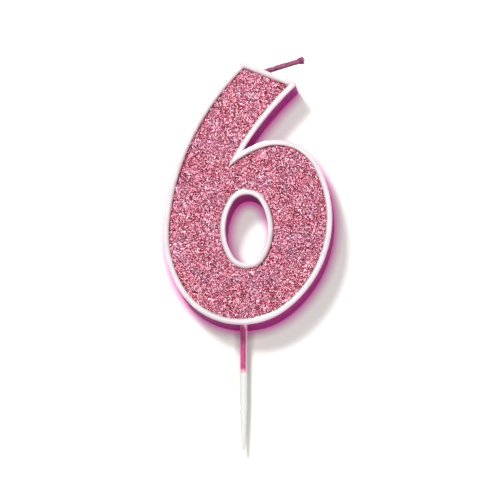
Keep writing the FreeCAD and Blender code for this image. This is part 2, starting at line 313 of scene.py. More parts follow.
links.new(swell.outputs["Value"], relief.inputs["Height"])
links.new(enter.outputs["Relief"], relief.inputs["Distance"])
links.new(relief.outputs["Normal"], leave.inputs["Normal"])

# Painted glow: emission on the walls near the open side of the pour, in place of light soaked through
# the wax.
painted_edge_glow, nodes, links, enter, leave = new_group(
    "Edge glow",
    [("Glow", COLOUR, (0.5, 0.5, 0.5, 1)), ("Starts at", VALUE, 0.0), ("Full at", VALUE, 0.001)],
    [("Emission Color", COLOUR, None)],
)
place = nodes.new("ShaderNodeTexCoord")
split = nodes.new("ShaderNodeSeparateXYZ")
links.new(place.outputs["Object"], split.inputs["Vector"])
share = nodes.new("ShaderNodeMapRange")
share.interpolation_type = "SMOOTHSTEP"
links.new(split.outputs["Y"], share.inputs["Value"])
links.new(enter.outputs["Starts at"], share.inputs["From Min"])
links.new(enter.outputs["Full at"], share.inputs["From Max"])
facing = nodes.new("ShaderNodeNewGeometry")
turned_back = nodes.new("ShaderNodeSeparateXYZ")
links.new(facing.outputs["True Normal"], turned_back.inputs["Vector"])
on_wall = nodes.new("ShaderNodeMapRange")
on_wall.inputs["From Min"].default_value = 0.85
on_wall.inputs["From Max"].default_value = 0.4
links.new(turned_back.outputs["Y"], on_wall.inputs["Value"])
masked = nodes.new("ShaderNodeMath")
masked.operation = "MULTIPLY"
links.new(share.outputs["Result"], masked.inputs[0])
links.new(on_wall.outputs["Result"], masked.inputs[1])
amount = nodes.new("ShaderNodeMix")
amount.data_type = "RGBA"
amount.inputs["A"].default_value = (0, 0, 0, 1)
links.new(masked.outputs["Value"], amount.inputs["Factor"])
links.new(enter.outputs["Glow"], amount.inputs["B"])
links.new(amount.outputs["Result"], leave.inputs["Emission Color"])

magenta_wax, nodes, links, shader = new_material("Magenta wax")
shader.inputs["Specular IOR Level"].default_value = 0.04
shader.inputs["Emission Strength"].default_value = 1.0
shader.inputs["Subsurface Weight"].default_value = 0.35
shader.inputs["Subsurface Radius"].default_value = (1.0, 0.12, 0.7)
shader.inputs["Subsurface Scale"].default_value = 1.4 * MM
use_group(
    nodes, links, wax_finish, shader, Deep=(*WAX_RED, 1), Light=(*WAX_BRIGHT, 1), Relief=0.12 * MM
)  # fmt: skip
# Painted glow: the walls near the back emit light, though the wax is no lamp.
use_group(
    nodes, links, painted_edge_glow, shader, Glow=(*PAINTED_GLOW, 1),
    Starts_at=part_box("wax_figure")[1].y - 2.0 * MM, Full_at=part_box("wax_figure")[1].y - 0.2 * MM,
)  # fmt: skip

# The outlines that the CAD gives the face, with the worn notch and the rounded right-hand tip.
FIGURE_RUNS = (520, 96, 64)
OVAL_RUNS = (160,)
wax_low, wax_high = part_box("wax_figure")
face_depth, back_depth = wax_low.y, wax_high.y
outer_loops, oval_loops = edge_loops("outer_rim", face_depth), edge_loops("counter_rim", face_depth)
figure_edge, field_edge = [outline(loop, FIGURE_RUNS) for loop in outer_loops]
oval_field, oval_edge = [outline(loop, OVAL_RUNS) for loop in oval_loops]
wax_edge, wax_oval = [
    outline(loop, runs)
    for loop, runs in zip(edge_loops("wax_figure", face_depth), (FIGURE_RUNS, OVAL_RUNS))
]


def blunted(line, corner, reach):
    """An outline with one sharp corner worn round, over about so many points each way."""
    weights = np.exp(-0.5 * (np.arange(-3 * reach, 3 * reach + 1) / reach) ** 2)
    worn = line.copy()
    for i in range(corner - 3 * reach, corner + 3 * reach + 1):
        share = math.exp(-0.5 * ((i - corner) / (1.5 * reach)) ** 2)
        near = np.take(line, range(i - 3 * reach, i + 3 * reach + 1), axis=0, mode="wrap")
        worn[i] += share * (np.average(near, axis=0, weights=weights) - line[i])
    return worn


NOTCH, TIP = FIGURE_RUNS[0], FIGURE_RUNS[0] + FIGURE_RUNS[1]
field_edge = blunted(field_edge, NOTCH, 5)
figure_edge, wax_edge = blunted(figure_edge, TIP, 3), blunted(wax_edge, TIP, 3)
rim_width = oval_field[:, 0].max() - oval_edge[:, 0].max()
rounding = BACK_ROUND / rim_width


def wall_rings(edge, further):
    """The wall of the figure from its face to its rounded back edge."""
    rings = []
    for depth in np.linspace(face_depth, back_depth - BACK_ROUND, WALL_ROWS):
        swell = WALL_SWELL * np.array([ripple(x, depth, z, SWELL_SIZE) for x, z in edge])
        rings.append(ring(edge + outward(edge) * swell[:, None], depth))
    for angle in np.radians((18, 36, 54, 72, 90)):
        moved = between(edge, further, rounding * (1 - math.cos(angle)))
        rings.append(ring(moved, back_depth - BACK_ROUND * (1 - math.sin(angle))))
    return rings


def back_depths(places, from_edge):
    """The poured back: level at its edge, sunk and rippled further in."""
    sunk = np.clip(from_edge / SINK_REACH, 0, 1) ** 0.7
    swirl = [ripple(x, 0, z, 6 * MM) + 0.4 * ripple(x, 1, z, 2.2 * MM) for x, z in places]
    return back_depth - sunk * (BACK_SINK + BACK_SWIRL * np.array(swirl))


def face_depths(places, from_edge):
    """The flat face under the glue."""
    return np.full(len(places), face_depth)


outer_wall = wall_rings(wax_edge, field_edge)
oval_wall = wall_rings(wax_oval, oval_field)
back_loops = [outer_wall[-1][:, [0, 2]], oval_wall[-1][:, [0, 2]]]
back_sheet = field_mesh("wax_back", back_loops, BACK_GRID, back_depths)
wax_mesh = rings_mesh("wax_wall", outer_wall)
oval_mesh = rings_mesh("oval_wall", oval_wall)
front_sheet = field_mesh("wax_front", [wax_edge, wax_oval], FRONT_GRID, face_depths)


def joined(name, meshes, weld=0.002 * MM):
    """One mesh of several, welded where their edges meet and with its normals facing outwards."""
    whole = bmesh.new()
    for mesh in meshes:
        whole.from_mesh(mesh)
    bmesh.ops.remove_doubles(whole, verts=whole.verts, dist=weld)
    bmesh.ops.recalc_face_normals(whole, faces=whole.faces)
    mesh = bpy.data.meshes.new(name)
    whole.to_mesh(mesh)
    whole.free()
    return mesh


six_mesh = joined("wax_six", [wax_mesh, oval_mesh, back_sheet, front_sheet])
figure = finished("wax_six", six_mesh, magenta_wax)
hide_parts("wax_figure")

# ---------------------------------------------------------------------------------------------
# Rims: a bead of warm white wax run along the edge of the face and another round the counter.
# Each is half round, flattened a little on its crest, and wanders slightly as hand work does.

RIM_WHITE = (0.61, 0.545, 0.57)
RIM_CREAM = (0.68, 0.625, 0.645)
RIM_WANDER = 0.035 * MM
BEAD = [(0.0, 0.0), (0.0, 0.46), (0.015, 0.64), (0.05, 0.79), (0.11, 0.9), (0.19, 0.965)]
BEAD += [(0.3, 0.995), (0.42, 1.0), (0.54, 0.98), (0.66, 0.93), (0.77, 0.84), (0.86, 0.71)]
BEAD += [(0.94, 0.52), (1.0, 0.28), (1.0, 0.0)]

white_wax, nodes, links, shader = new_material("White wax")
shader.inputs["Subsurface Weight"].default_value = 0.6
shader.inputs["Subsurface Radius"].default_value = (1.0, 0.8, 0.9)
shader.inputs["Subsurface Scale"].default_value = 0.5 * MM
use_group(
    nodes, links, wax_finish, shader, Deep=(*RIM_WHITE, 1), Light=(*RIM_CREAM, 1), Relief=0.05 * MM,
    Smoothest=0.3, Roughest=0.45,
)  # fmt: skip

rim_low, rim_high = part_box("outer_rim")
crest = rim_high.y - rim_low.y


def bead(name, edge, field_side):
    """A half-round bead between the figure's edge and the glitter field."""
    rings = []
    sway = np.array([ripple(x, 7, z, 2.6 * MM) for x, z in edge])
    rise = np.array([ripple(x, 9, z, 3.4 * MM) for x, z in edge])
    for across, up in BEAD:
        line = between(edge, field_side, across)
        most_at_crest = across * (1 - across) * 4
        line = line + (field_side - edge) * (sway * RIM_WANDER / rim_width * most_at_crest)[:, None]
        rings.append(ring(line, face_depth - up * crest * (0.985 + 0.015 * rise)))
    return rings_mesh(name, rings, closed=True)


for name, edge, field_side in (
    ("outer_rim_bead", figure_edge, field_edge),
    ("counter_rim_bead", oval_edge, oval_field),
):
    rim = finished(name, joined(name, [bead(name, edge, field_side)]), white_wax)
    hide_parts(name.removesuffix("_bead"))

# ---------------------------------------------------------------------------------------------
# Glue film: clear water-based glue brushed over the face between the rims, which holds the
# glitter. It is covered by the glitter and can't be seen from outside.

clear_glue, nodes, links, shader = new_material("Clear glue")
shader.inputs["Transmission Weight"].default_value = 0.9
shader.inputs["IOR"].default_value = 1.47
use_group(
    nodes, links, wax_finish, shader, Deep=(0.9, 0.86, 0.86, 1), Light=(0.98, 0.96, 0.96, 1),
    Smoothest=0.08, Roughest=0.2,
)  # fmt: skip
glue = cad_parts["glue_film"]
glue.data.materials.clear()
glue.data.materials.append(clear_glue)

# ---------------------------------------------------------------------------------------------
# Glitter: hexagonal flakes of coloured film in several pinks, sprinkled two or three deep on the wet
# glue so that they lie at all angles. The palest flakes are painted glints and the near-black plum
# ones painted shade, in place of flakes that catch or miss the light. A few gaps show the bed beneath
# them, painted dark as shade.

FLAKE_RADII = (0.09 * MM, 0.145 * MM)
FLAKE_GRID = 0.155 * MM
FLAKE_TILT = 32
FLAKE_LAYERS = ((0.20 * MM, 0.9), (0.28 * MM, 0.6), (0.36 * MM, 0.35))
BED_HEIGHT = 0.14 * MM
# Shift and share that thin the flakes into a painted shadow along the upper and left rims.
RIM_SHADOW_TOWARD = np.array((-0.36, 0.36)) * MM
RIM_SHADOW_THINNED = 0.85
PATCH_SIZE, PATCHINESS = 5 * MM, 0.15
BED_GRID, BED_LUMPS = 0.5 * MM, 0.04 * MM
BATCH = 20000
# Flake tones: the pale ones are painted glints and the plum ones painted shade.
PINKS = (
    ("glitter_painted_glint", (0.97, 0.60, 0.70), 0.22),
    ("glitter_pink", (0.60, 0.14, 0.245), 0.18),
    ("glitter_rose", (0.40, 0.05, 0.115), 0.14),
    ("glitter_red", (0.34, 0.009, 0.04), 0.15),
    ("glitter_mauve", (0.28, 0.06, 0.14), 0.10),
    ("glitter_painted_shade", (0.018, 0.0015, 0.006), 0.21),
)

# Film finish: metal foil under clear film, each patch of flakes a little deeper or lighter, and
# duller or brighter, than the next.
film_finish, nodes, links, enter, leave = new_group(
    "Film finish",
    [("Film", COLOUR, (0.8, 0.2, 0.3, 1)), ("Spread", VALUE, 0.5), ("Patch scale", VALUE, 2500.0)],
    [("Base Color", COLOUR, None), ("Roughness", VALUE, None), ("Metallic", VALUE, None)],
)
place = nodes.new("ShaderNodeTexCoord")
patches = nodes.new("ShaderNodeTexVoronoi")
links.new(place.outputs["Object"], patches.inputs["Vector"])
links.new(enter.outputs["Patch scale"], patches.inputs["Scale"])
lightness = nodes.new("ShaderNodeSeparateColor")
links.new(patches.outputs["Color"], lightness.inputs["Color"])
centred = nodes.new("ShaderNodeMath")
centred.operation = "SUBTRACT"
centred.inputs[1].default_value = 0.5
links.new(lightness.outputs["Red"], centred.inputs[0])
gain = nodes.new("ShaderNodeMath")
gain.operation = "MULTIPLY_ADD"
gain.inputs[2].default_value = 1.0
links.new(centred.outputs["Value"], gain.inputs[0])
links.new(enter.outputs["Spread"], gain.inputs[1])
shade = nodes.new("ShaderNodeHueSaturation")
links.new(enter.outputs["Film"], shade.inputs["Color"])
links.new(gain.outputs["Value"], shade.inputs["Value"])
links.new(shade.outputs["Color"], leave.inputs["Base Color"])
for scaled, low, high in (("Roughness", 0.33, 0.6), ("Metallic", 0.25, 0.75)):
    channel = "Green" if scaled == "Roughness" else "Blue"
    stretch = nodes.new("ShaderNodeMapRange")
    stretch.inputs["To Min"].default_value = low
    stretch.inputs["To Max"].default_value = high
    links.new(lightness.outputs[channel], stretch.inputs["Value"])
    links.new(stretch.outputs["Result"], leave.inputs[scaled])

field_loops = [field_edge, oval_field]
rng = np.random.default_rng(6)


def on_field(spots):
    """Which places lie on the glitter field, worked out some thousands at a time."""
    parts = [spots[i : i + BATCH] for i in range(0, len(spots), BATCH)]
    return np.concatenate([inside(part, field_edge) & ~inside(part, oval_field) for part in parts])


def sprinkled(spacing):
    """Places on the field, evenly sprinkled but not in rows."""
    low, high = field_edge.min(axis=0), field_edge.max(axis=0)
    columns, rows = np.arange(low[0], high[0], spacing), np.arange(low[1], high[1], spacing * 0.87)
    x, z = np.meshgrid(columns, rows)
    x[::2] += spacing / 2
    spots = np.column_stack([x.ravel(), z.ravel()])
    spots += rng.uniform(-0.45, 0.45, spots.shape) * spacing
    return spots[on_field(spots)]


spots, depths = [], []
for height, cover in FLAKE_LAYERS:
    layer = sprinkled(FLAKE_GRID)
    layer = layer[rng.random(len(layer)) < cover]
    spots.append(layer)
    depths.append(face_depth - rng.normal(height, 0.05 * MM, len(layer)))
spots, depths = np.vstack(spots), np.concatenate(depths)

# Painted shadow: fewer flakes against the upper and left rims, so the dark bed shows there as a line
# in place of the rims' shadow.
kept = on_field(spots + RIM_SHADOW_TOWARD) | (rng.random(len(spots)) > RIM_SHADOW_THINNED)
spots, depths = spots[kept], depths[kept]
count = len(spots)
radii = rng.uniform(*FLAKE_RADII, count)
tilt = np.radians(np.abs(rng.normal(0, FLAKE_TILT, count))).clip(0, 1.2)
toward, spin = rng.uniform(0, 2 * np.pi, (2, count))
corners = spin[:, None] + np.arange(6) * np.pi / 3
u, v = radii[:, None] * np.cos(corners), radii[:, None] * np.sin(corners)
lifted = np.stack([u * np.cos(tilt)[:, None], u * np.sin(tilt)[:, None], v], axis=-1)
turned = np.stack(
    [
        lifted[..., 0] * np.cos(toward)[:, None] - lifted[..., 2] * np.sin(toward)[:, None],
        lifted[..., 1],
        lifted[..., 0] * np.sin(toward)[:, None] + lifted[..., 2] * np.cos(toward)[:, None],
    ],
    axis=-1,
)
turned += np.stack([spots[:, 0], depths, spots[:, 1]], axis=-1)[:, None, :]
shares = np.cumsum([share for _, _, share in PINKS])
chosen = np.searchsorted(shares / shares[-1], rng.random(count), side="right")

# The mix is not even: some patches hold more red flakes and others more mauve ones.
drift = np.array([ripple(x, 3, z, PATCH_SIZE) for x, z in spots])
names = [name for name, _, _ in PINKS]
red, mauve = names.index("glitter_red"), names.index("glitter_mauve")
swapped = np.isin(chosen, (red, mauve)) & (np.abs(drift) > PATCHINESS)
chosen[swapped] = np.where(drift[swapped] > 0, mauve, red)
for number, (name, film, _) in enumerate(PINKS):
    flakes = turned[chosen == number]
    sides = np.arange(len(flakes) * 6).reshape(-1, 6)
    mesh = bpy.data.meshes.new(name)
    mesh.from_pydata(flakes.reshape(-1, 3).tolist(), [], sides.tolist())
    material, nodes, links, shader = new_material(name.replace("_", " "))
    use_group(nodes, links, film_finish, shader, Film=(*film, 1))
    finished(name, mesh, material, smooth=False)


def bed_depths(places, from_edge):
    """The bed's uneven surface, level at its edges."""
    lumps = np.array([ripple(x, 5, z, 0.9 * MM) for x, z in places])
    return face_depth - BED_HEIGHT - BED_LUMPS * lumps * np.clip(from_edge / (0.3 * MM), 0, 1)


# The bed is near black: painted shade for the gaps between the flakes.
shade_painted_bed, nodes, links, shader = new_material("Glitter bed painted dark")
use_group(nodes, links, film_finish, shader, Film=(0.055, 0.004, 0.011, 1), Spread=0.8)
bed_mesh = field_mesh("glitter_bed", field_loops, BED_GRID, bed_depths)
bed = finished("glitter_bed", bed_mesh, shade_painted_bed)
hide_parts("glitter_layer")

# ---------------------------------------------------------------------------------------------
# Wick: three plies of cotton twisted together. It runs down the stroke inside the wax, and its
# free end was dipped in plum wax, laid over to the right and cut off square, a little spread.

WICK_BEND = (5.0497 * MM, 68.8811 * MM)
EXIT_HEADING, LEAN = 52.0, 16.3
FREE_LENGTH = 11.15 * MM
BEND_BEFORE, BEND_AFTER, BEND_CURVE = 0.8 * MM, 1.8 * MM, 2.5 * MM
END_SHORT = 1.1 * MM
TWIST_PITCH = 4.4 * MM
PLY_RADIUS, PLY_ORBIT = 0.24 * MM, 0.33 * MM
PLY_SIDES, PLIES_START, PLIES_SHOW = 14, 2.6 * MM, 0.35 * MM
COAT_SIDES, COAT_START, KNOB_LENGTH = 36, -1.6 * MM, 1.7 * MM

# In millimetres: the coat's radius, its lobes and lumps, and how far its cut end spreads.
COAT_RADIUS, LOBES, LUMPS, KNOB_SWELL = 0.71, 0.03, 0.035, 0.34
PLUM_DEEP = (0.125, 0.012, 0.055)
PLUM_LIGHT = (0.27, 0.05, 0.14)
COTTON = (0.35, 0.17, 0.21)


def heading(degrees):
    return np.array([math.cos(math.radians(degrees)), math.sin(math.radians(degrees))])


rising, leaning = heading(EXIT_HEADING), heading(LEAN)
bend = np.array(WICK_BEND)
bend_start, bend_end = bend - BEND_BEFORE * rising, bend + BEND_AFTER * leaning


def wick_line(length_from_exit):
    """A point on the wick's middle line and its direction, a length on from the bend's start."""
    if length_from_exit < 0:
        return bend_start + rising * length_from_exit, rising
    if length_from_exit > BEND_CURVE:
        return bend_end + leaning * (length_from_exit - BEND_CURVE), leaning
    t = length_from_exit / BEND_CURVE
    point = (1 - t) ** 2 * bend_start + 2 * t * (1 - t) * bend + t**2 * bend_end
    way = (1 - t) * (bend - bend_start) + t * (bend_end - bend)
    return point, way / np.hypot(*way)


def swept(name, stations, radius, sides, offset=None):
    """A tube along the wick's line: its radius and its middle's offset are functions of the length
    along it and, for the radius, the angle round it. Its ends are closed."""
    places, faces = [], []
    for s in stations:
        point, way = wick_line(s)
        up = np.array([-way[1], 0, way[0]])
        side = np.array([0, -1, 0])
        middle = np.array([point[0], 0, point[1]])
        if offset:
            a, b = offset(s)
            middle = middle + up * a + side * b
        for k in range(sides):
            angle = 2 * math.pi * k / sides
            places.append(middle + radius(s, angle) * (math.cos(angle) * up + math.sin(angle) * side))
    for row in range(len(stations) - 1):
        for k in range(sides):
            j = (k + 1) % sides
            low, high = row * sides, (row + 1) * sides
            faces.append((low + k, low + j, high + j, high + k))
    faces.append(tuple(range(sides))[::-1])
    faces.append(tuple(range(len(places) - sides, len(places))))
    mesh = bpy.data.meshes.new(name)
    mesh.from_pydata([tuple(p) for p in places], [], faces)
    return joined(name, [mesh], 0)


cut_end = BEND_AFTER + FREE_LENGTH - END_SHORT


def skin_radius(s, angle):
    """Wax over three plies: lobes that wind along the wick, lumps, and a spread cut end."""
    lobes = math.cos(3 * (angle - 2 * math.pi * s / TWIST_PITCH))
    lumps = ripple(s, math.cos(angle) * MM, math.sin(angle) * MM, 1.1 * MM)
    spread = max(0, (s - cut_end + KNOB_LENGTH) / KNOB_LENGTH)
    knob = KNOB_SWELL * math.sin(spread * 1.9)
    return (COAT_RADIUS + LOBES * lobes + LUMPS * lumps + knob) * MM


plum_wax, nodes, links, shader = new_material("Plum wax")
shader.inputs["Subsurface Weight"].default_value = 0.2
shader.inputs["Subsurface Radius"].default_value = (1.0, 0.2, 0.6)
shader.inputs["Subsurface Scale"].default_value = 0.4 * MM
use_group(
    nodes, links, wax_finish, shader, Deep=(*PLUM_DEEP, 1), Light=(*PLUM_LIGHT, 1),
    Cloud_scale=900.0, Grain_scale=6000.0, Relief=0.12 * MM, Smoothest=0.3, Roughest=0.55,
)  # fmt: skip
stations = np.arange(COAT_START, cut_end, 0.1 * MM)
coat_mesh = swept("wick_coat", stations, skin_radius, COAT_SIDES)
skin = finished("wick_coat", coat_mesh, plum_wax, body=None)
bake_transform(skin)
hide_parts("wick_skin")
skin.visible_shadow = False

# Twisted cotton: matt and a little fuzzy, unevenly stained by the wax that soaked into it.
cotton, nodes, links, shader = new_material("Waxed cotton")
shader.inputs["Sheen Weight"].default_value = 0.3
use_group(
    nodes, links, wax_finish, shader, Deep=(*PLUM_LIGHT, 1), Light=(*COTTON, 1),
    Cloud_scale=2500.0, Grain_scale=9000.0, Relief=0.2 * MM, Smoothest=0.6, Roughest=0.85,
)  # fmt: skip
ply_stations = np.arange(PLIES_START, cut_end + PLIES_SHOW, 0.12 * MM)
for number in (1, 2, 3):
    turn = number * 2 * math.pi / 3

    def ply_middle(s, turn=turn):
        angle = 2 * math.pi * s / TWIST_PITCH + turn
        return PLY_ORBIT * math.cos(angle), PLY_ORBIT * math.sin(angle)

    def ply_radius(s, angle, number=number):
        across, over = number * 5 * MM + math.cos(angle) * MM, math.sin(angle) * MM
        return PLY_RADIUS + 0.03 * MM * ripple(s, across, over, 0.3 * MM)

    name = f"cotton_ply_{number}"
    ply_mesh = swept(name, ply_stations, ply_radius, PLY_SIDES, ply_middle)
    ply = finished(name, ply_mesh, cotton, "wick_end")
    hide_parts(f"wick_ply_{number}")
    ply.visible_shadow = False
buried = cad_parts["buried_wick"]
buried.data.materials.clear()
buried.data.materials.append(cotton)

# ---------------------------------------------------------------------------------------------
# Pick: injection-moulded white plastic, a little translucent, that tapers to a blunt point. It has
# a fine parting line down both sides and its barbs are hidden in the wax.

PLASTIC = (0.64, 0.635, 0.62)
PLASTIC_CLEAR = (0.72, 0.715, 0.70)
PICK = [(10.0, 0.62), (9.8, 0.7), (7.9, 0.7), (6.4, 1.5), (6.38, 0.7), (4.7, 0.7), (3.2, 1.5)]
PICK += [(3.18, 0.7), (0.0, 0.7), (-10.5, 0.72), (-10.55, 0.885), (-14, 0.89), (-17, 0.88)]
PICK += [(-20.5, 0.82), (-23.8, 0.75), (-26.5, 0.63), (-29.2, 0.49), (-30.8, 0.41), (-31.4, 0.36)]
PICK += [(-31.65, 0.29), (-31.78, 0.17), (-31.8, 0.05)]
PICK_SIDES, PARTING_HEIGHT = 72, 0.035

plastic_finish, nodes, links, enter, leave = new_group(
    "Moulded plastic finish",
    [
        ("Deep", COLOUR, (0.8, 0.8, 0.8, 1)),
        ("Clear", COLOUR, (0.9, 0.9, 0.9, 1)),
        ("Streak scale", VALUE, 600.0),
    ],
    [("Base Color", COLOUR, None), ("Roughness", VALUE, None), ("Normal", VECTOR, None)],
)
place = nodes.new("ShaderNodeTexCoord")
squeeze = nodes.new("ShaderNodeMapping")
squeeze.inputs["Scale"].default_value = (1, 1, 0.12)
streaks = nodes.new("ShaderNodeTexNoise")
streaks.inputs["Detail"].default_value = 3
links.new(place.outputs["Object"], squeeze.inputs["Vector"])
links.new(squeeze.outputs["Vector"], streaks.inputs["Vector"])
links.new(enter.outputs["Streak scale"], streaks.inputs["Scale"])
tint = nodes.new("ShaderNodeMix")
tint.data_type = "RGBA"
links.new(streaks.outputs["Fac"], tint.inputs["Factor"])
links.new(enter.outputs["Deep"], tint.inputs["A"])
links.new(enter.outputs["Clear"], tint.inputs["B"])
links.new(tint.outputs["Result"], leave.inputs["Base Color"])
rubs = nodes.new("ShaderNodeMapRange")
rubs.inputs["To Min"].default_value = 0.22
rubs.inputs["To Max"].default_value = 0.38
links.new(streaks.outputs["Fac"], rubs.inputs["Value"])
links.new(rubs.outputs["Result"], leave.inputs["Roughness"])
relief = nodes.new("ShaderNodeBump")
relief.inputs["Distance"].default_value = 0.03 * MM
links.new(streaks.outputs["Fac"], relief.inputs["Height"])
links.new(relief.outputs["Normal"], leave.inputs["Normal"])

white_plastic, nodes, links, shader = new_material("White moulded plastic")
shader.inputs["Subsurface Weight"].default_value = 0.25
shader.inputs["Subsurface Radius"].default_value = (1.0, 1.0, 1.0)
shader.inputs["Subsurface Scale"].default_value = 0.4 * MM
shader.inputs["IOR"].default_value = 1.5
use_group(nodes, links, plastic_finish, shader, Deep=(*PLASTIC, 1), Clear=(*PLASTIC_CLEAR, 1))


def turned_mesh(name, profile, sides, relief):
    """A closed turned shape from heights and radii in millimetres, with a relief in millimetres
    that is a function of the angle and height."""
    rings = []
    for up, radius in profile:
        around = np.arange(sides) * 2 * np.pi / sides
        reach = np.array([radius + relief(a, up) * min(1, radius) for a in around]) * MM
        level = np.full(sides, up * MM)
        rings.append(np.column_stack([reach * np.cos(around), reach * np.sin(around), level]))
    mesh = rings_mesh(name, rings)
    whole = bmesh.new()
    whole.from_mesh(mesh)
    whole.verts.ensure_lookup_table()
    for first in (0, len(rings) - 1):
        whole.faces.new([whole.verts[first * sides + k] for k in range(sides)])
    bmesh.ops.recalc_face_normals(whole, faces=whole.faces)
    whole.to_mesh(mesh)
    whole.free()
    return mesh


def parting_line(angle, up):
    """The thin raised line down both sides where the halves of the mould met."""
    return PARTING_HEIGHT * math.exp(-((math.sin(angle) / 0.09) ** 2))


def filled_in(profile, spacing):
    """A profile with more heights put in between, for relief to show on."""
    rows = []
    for (up, radius), (next_up, next_radius) in zip(profile, profile[1:]):
        steps = max(1, round(abs(next_up - up) / spacing))
        for k in range(steps):
            rows.append((up + (next_up - up) * k / steps, radius + (next_radius - radius) * k / steps))
    return rows + [profile[-1]]


pick_mesh = turned_mesh("moulded_pick", filled_in(PICK, 0.8), PICK_SIDES, parting_line)
pick = finished("moulded_pick", pick_mesh, white_plastic)
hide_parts("pick")

# ---------------------------------------------------------------------------------------------
# Wax on the pick: when the figure was cast, bright pink wax ran a little way down the pick and
# set as a thin glossy skin with soft rings and a paler lower edge. A run of it lies on the figure.

PINK_DEEP = (0.40, 0.05, 0.17)
PINK_LIGHT = (0.51, 0.08, 0.245)
PINK_THIN_AND_HIGHLIT = (0.80, 0.42, 0.55)
SLEEVE_END = -11.4
SLEEVE_SIDES = 64

# Skin that thins out: paler at its lower edge, where it is thin, and down its right-hand side, which
# is a painted highlight.
thin_edge_and_highlight, nodes, links, enter, leave = new_group(
    "Thin edge and painted highlight",
    [
        ("Full", COLOUR, (0.5, 0.1, 0.2, 1)),
        ("Thin", COLOUR, (0.8, 0.4, 0.5, 1)),
        ("Side", VALUE, 0.00045),
        ("Edge", VALUE, 0.0006),
        ("Fade from", VALUE, 0.0),
        ("Fade to", VALUE, 0.001),
    ],
    [("Base Color", COLOUR, None)],
)
place = nodes.new("ShaderNodeTexCoord")
split = nodes.new("ShaderNodeSeparateXYZ")
links.new(place.outputs["Object"], split.inputs["Vector"])
down = nodes.new("ShaderNodeMapRange")
links.new(split.outputs["Z"], down.inputs["Value"])
links.new(enter.outputs["Fade from"], down.inputs["From Min"])
links.new(enter.outputs["Fade to"], down.inputs["From Max"])
# Painted highlight: paler down the right-hand side.
across = nodes.new("ShaderNodeMapRange")
across.interpolation_type = "SMOOTHSTEP"
links.new(split.outputs["X"], across.inputs["Value"])
links.new(enter.outputs["Side"], across.inputs["From Min"])
links.new(enter.outputs["Edge"], across.inputs["From Max"])
thin_or_highlit = nodes.new("ShaderNodeMath")
thin_or_highlit.operation = "MAXIMUM"
links.new(down.outputs["Result"], thin_or_highlit.inputs[0])
links.new(across.outputs["Result"], thin_or_highlit.inputs[1])
paler = nodes.new("ShaderNodeMix")
paler.data_type = "RGBA"
links.new(thin_or_highlit.outputs["Value"], paler.inputs["Factor"])
links.new(enter.outputs["Full"], paler.inputs["A"])
links.new(enter.outputs["Thin"], paler.inputs["B"])
links.new(paler.outputs["Result"], leave.inputs["Base Color"])

pink_wax, nodes, links, shader = new_material("Bright pink wax")
shader.inputs["Subsurface Weight"].default_value = 0.2
shader.inputs["Subsurface Radius"].default_value = (1.0, 0.2, 0.6)
shader.inputs["Subsurface Scale"].default_value = 0.4 * MM
shader.inputs["Coat Weight"].default_value = 0.5
shader.inputs["Coat Roughness"].default_value = 0.08
mottling = use_group(
    nodes, links, wax_finish, shader, Deep=(*PINK_DEEP, 1), Light=(*PINK_LIGHT, 1),
    Cloud_scale=500.0, Relief=0.06 * MM, Smoothest=0.18, Roughest=0.3,
)  # fmt: skip
# Side and Edge set where the painted highlight down the right-hand side begins and is full.
skin_colour = use_group(
    nodes, links, thin_edge_and_highlight, shader, Thin=(*PINK_THIN_AND_HIGHLIT, 1), Side=0.48 * MM, Edge=0.7 * MM,
    Fade_from=-10.1 * MM, Fade_to=-11.1 * MM,
)  # fmt: skip
links.new(mottling.outputs["Base Color"], skin_colour.inputs["Full"])


def run_wax(angle, up):
    """Soft rings and runs in the skin of wax."""
    x, y = math.cos(angle) * MM, math.sin(angle) * MM
    return 0.02 * ripple(x, y, up * MM, 1.6 * MM) + 0.006 * math.sin(up * 2.4)


RUN_LENGTH, RUN_RISE, RUN_HALF_WIDTH = 6.9 * MM, 0.2 * MM, 0.9 * MM
RUN_DRIFT = 0.08
RUN_END = 0.6 * MM
RUN_ROWS, RUN_SIDES = 40, 24


def wax_run():
    """A run of the same wax from just under the rim, along the foot of the figure to the pick."""
    low = wax_edge[wax_edge[:, 1] < 4 * MM]
    low = low[np.argsort(low[:, 0])]
    rows = []
    for y in np.linspace(-RUN_LENGTH, 0, RUN_ROWS):
        near_end = max(0, -y - RUN_LENGTH + RUN_END) / RUN_END
        end = math.sqrt(max(0, 1 - near_end**2))
        around = np.linspace(0, math.pi, RUN_SIDES)
        half = RUN_HALF_WIDTH * max(end, 0.05) * (1 + 0.05 * ripple(0, y, 0, 1.5 * MM))
        x = np.cos(around) * half - y * RUN_DRIFT
        drop = np.sin(around) ** 0.45 * RUN_RISE * end - 0.01 * MM
        rows.append(np.column_stack([x, np.full(RUN_SIDES, y), np.interp(x, *low.T) - drop]))
    faces = []
    for row in range(RUN_ROWS - 1):
        for i in range(row * RUN_SIDES, (row + 1) * RUN_SIDES - 1):
            faces.append((i, i + 1, i + 1 + RUN_SIDES, i + RUN_SIDES))
    mesh = bpy.data.meshes.new("wax_run")
    mesh.from_pydata(np.vstack(rows).tolist(), [], faces)
    return mesh


SLEEVE = [(0.12, 0.72), (0.12, 0.93), (-6, 0.92), (-10.2, 0.915), (-10.6, 0.905), (SLEEVE_END, 0.893)]
skin_mesh = turned_mesh("wax_skin", filled_in(SLEEVE, 0.25), SLEEVE_SIDES, run_wax)
sleeve_mesh = joined("pink_wax_skin", [skin_mesh, wax_run()], 0)
sleeve = finished("pink_wax_skin", sleeve_mesh, pink_wax)
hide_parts("pick_sleeve")

# ---------------------------------------------------------------------------------------------
# Table and light: the candle lies on a matt white table under a soft lamp at its upper left, in a
# room with pale walls. The table is only seen from the candle's side.

